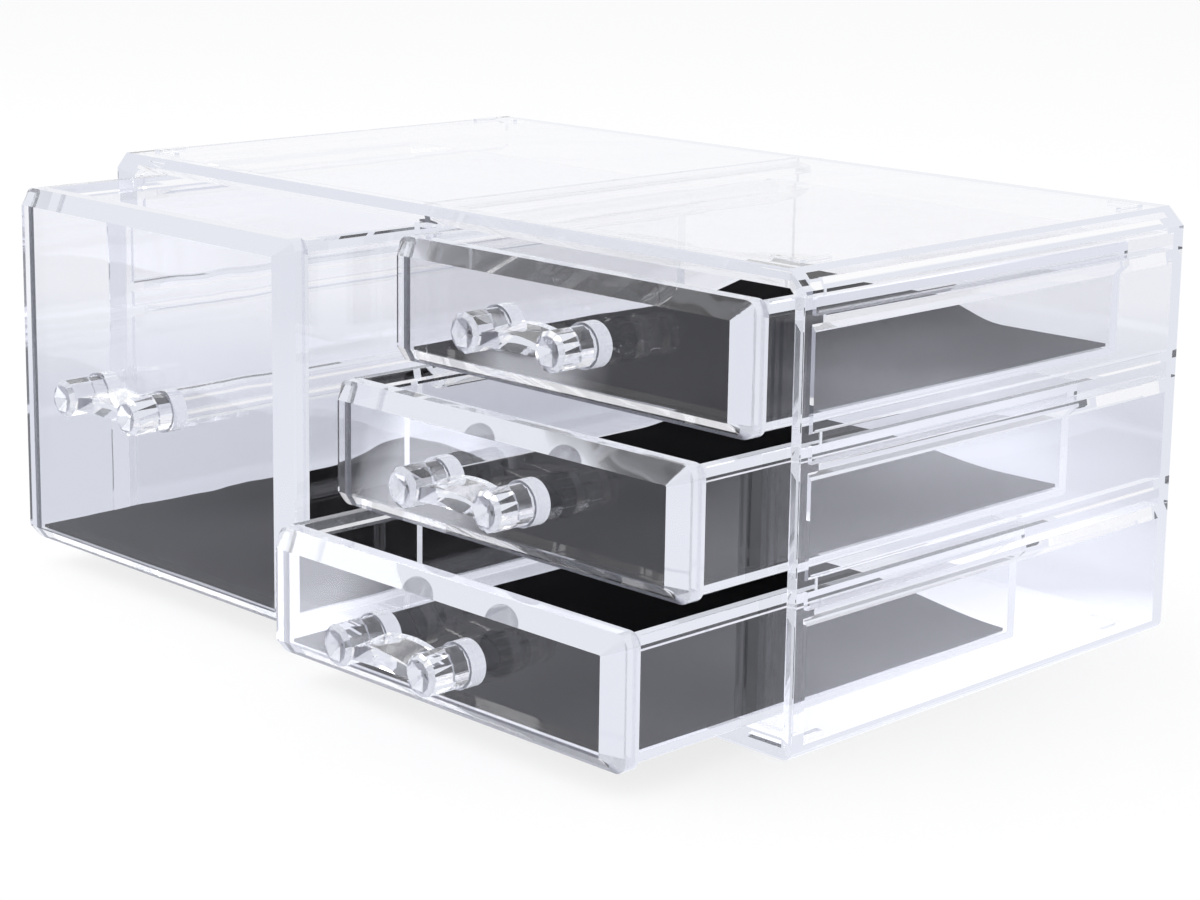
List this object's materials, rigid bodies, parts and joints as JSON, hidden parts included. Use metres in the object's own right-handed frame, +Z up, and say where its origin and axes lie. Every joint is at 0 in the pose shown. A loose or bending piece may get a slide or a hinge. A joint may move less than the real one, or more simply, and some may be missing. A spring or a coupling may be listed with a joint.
{
  "type": "makeup organizer with drawers",
  "caption": "Clear acrylic table-top organizer case with a tall drawer beside a stack of small drawers, each hung on rails, with a faceted twin-post handle and a black liner.",
  "frame": {"origin": "middle of the case's flat underside", "axes": "+X to the right and +Y to the back as seen from the front, +Z up; the drawers pull out along -Y"},
  "size_m": [0.24, 0.1981, 0.1046],
  "materials": {
    "clear_acrylic": "clear, polished moulded acrylic",
    "black_liner": "thin black flocked sheet with a matt, velvety pile"
  },
  "bodies": {
    "case": {"case_shell": "clear_acrylic", "partition": "clear_acrylic"},
    "tall_drawer": {"tall_drawer_tray": "clear_acrylic", "tall_drawer_front": "clear_acrylic", "tall_drawer_handle": "clear_acrylic", "tall_drawer_liner": "black_liner"},
    "top_drawer": {"top_drawer_tray": "clear_acrylic", "top_drawer_front": "clear_acrylic", "top_drawer_handle": "clear_acrylic", "top_drawer_liner": "black_liner"},
    "middle_drawer": {"middle_drawer_tray": "clear_acrylic", "middle_drawer_front": "clear_acrylic", "middle_drawer_handle": "clear_acrylic", "middle_drawer_liner": "black_liner"},
    "bottom_drawer": {"bottom_drawer_tray": "clear_acrylic", "bottom_drawer_front": "clear_acrylic", "bottom_drawer_handle": "clear_acrylic", "bottom_drawer_liner": "black_liner"}
  },
  "joints": [
    {"name": "tall_drawer_slide", "type": "slide", "parent": "case", "child": "tall_drawer", "axis": [0, -1, 0], "range_m": [-0.036, 0.069]},
    {"name": "top_drawer_slide", "type": "slide", "parent": "case", "child": "top_drawer", "axis": [0, -1, 0], "range_m": [-0.0126, 0.0924]},
    {"name": "middle_drawer_slide", "type": "slide", "parent": "case", "child": "middle_drawer", "axis": [0, -1, 0], "range_m": [-0.0301, 0.0749]},
    {"name": "bottom_drawer_slide", "type": "slide", "parent": "case", "child": "bottom_drawer", "axis": [0, -1, 0], "range_m": [-0.0479, 0.0571]}
  ]
}
